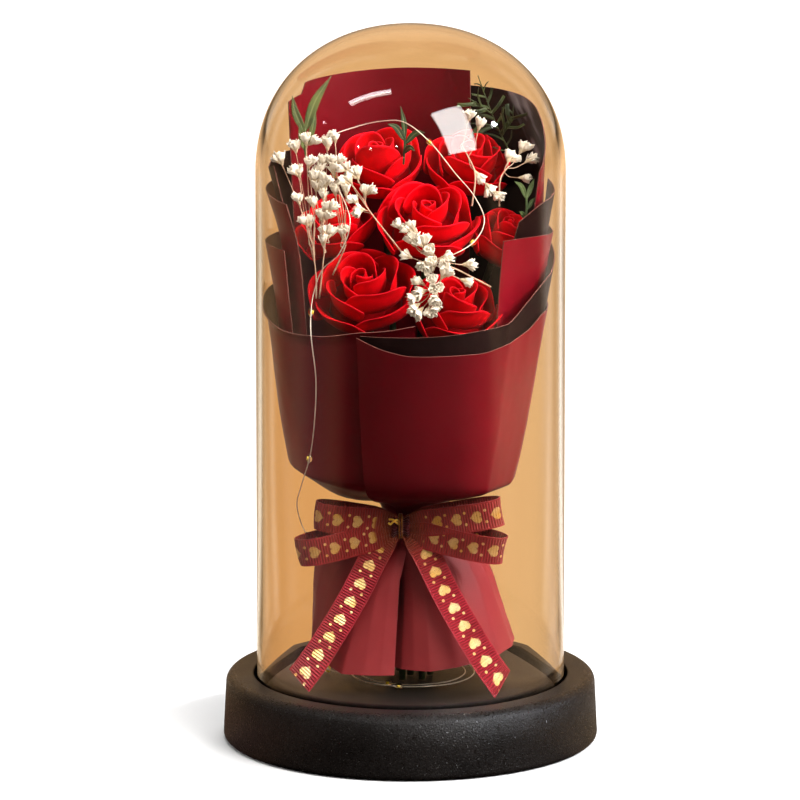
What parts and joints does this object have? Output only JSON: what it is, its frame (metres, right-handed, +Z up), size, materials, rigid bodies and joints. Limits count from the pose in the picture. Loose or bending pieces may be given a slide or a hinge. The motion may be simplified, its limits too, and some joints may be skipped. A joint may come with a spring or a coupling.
{
  "type": "preserved roses in a clear dome",
  "caption": "Bunch of red preserved roses in burgundy and black paper with a ribbon bow, dried sprays and a light wire, under a clear dome on a round black base.",
  "frame": {"origin": "middle of the base's underside, on the surface that it stands on", "axes": "+Z up through the middle of the dome, front of the bunch and its bow towards -Y, +X to the right seen from the front"},
  "size_m": [0.133, 0.133, 0.2558],
  "materials": {
    "base_plastic": "fine-grained satin",
    "clear_acrylic": "clear, polished",
    "rose_petal": "soft matt petal",
    "flower_stem": "matt",
    "burgundy_paper": "semi-matt coated paper",
    "black_paper": "semi-matt coated paper",
    "ribbon": "ribbed grosgrain",
    "gold_wire": "bright",
    "dried_floret": "dry, matt",
    "dried_leaf": "dry, matt",
    "light_wire": "bare bright wire",
    "light_bead": "clear resin"
  },
  "bodies": {
    "root": {"base": "base_plastic", "dome": "clear_acrylic", "rose_back_left": "rose_petal", "rose_back_right": "rose_petal", "rose_centre": "rose_petal", "rose_left": "rose_petal", "rose_front_left": "rose_petal", "rose_front_right": "rose_petal", "rose_right": "rose_petal", "stem_back_left": "flower_stem", "stem_back_right": "flower_stem", "stem_centre": "flower_stem", "stem_left": "flower_stem", "stem_front_left": "flower_stem", "stem_front_right": "flower_stem", "stem_right": "flower_stem", "paper_front_right": "burgundy_paper", "paper_front_collar": "black_paper", "paper_front_left": "burgundy_paper", "paper_left_lower": "burgundy_paper", "paper_right_panel": "burgundy_paper", "paper_left_middle": "burgundy_paper", "paper_right_middle": "black_paper", "paper_left_upper": "black_paper", "paper_back_right": "black_paper", "paper_back_tall": "burgundy_paper", "ribbon_bow": "ribbon", "twist_tie": "gold_wire", "filler_spray_left": "dried_floret", "filler_spray_middle": "dried_floret", "filler_spray_right": "dried_floret", "filler_spray_far_right": "dried_floret", "leaf_sprig_left": "dried_leaf", "leaf_sprig_top": "dried_leaf", "fern_sprig_right": "dried_leaf", "leaf_sprig_right": "dried_leaf", "light_wire": "light_wire", "light_1": "light_bead", "light_2": "light_bead", "light_3": "light_bead", "light_4": "light_bead", "light_5": "light_bead", "light_6": "light_bead", "light_7": "light_bead", "light_8": "light_bead", "light_9": "light_bead", "light_10": "light_bead", "light_11": "light_bead"}
  },
  "joints": []
}
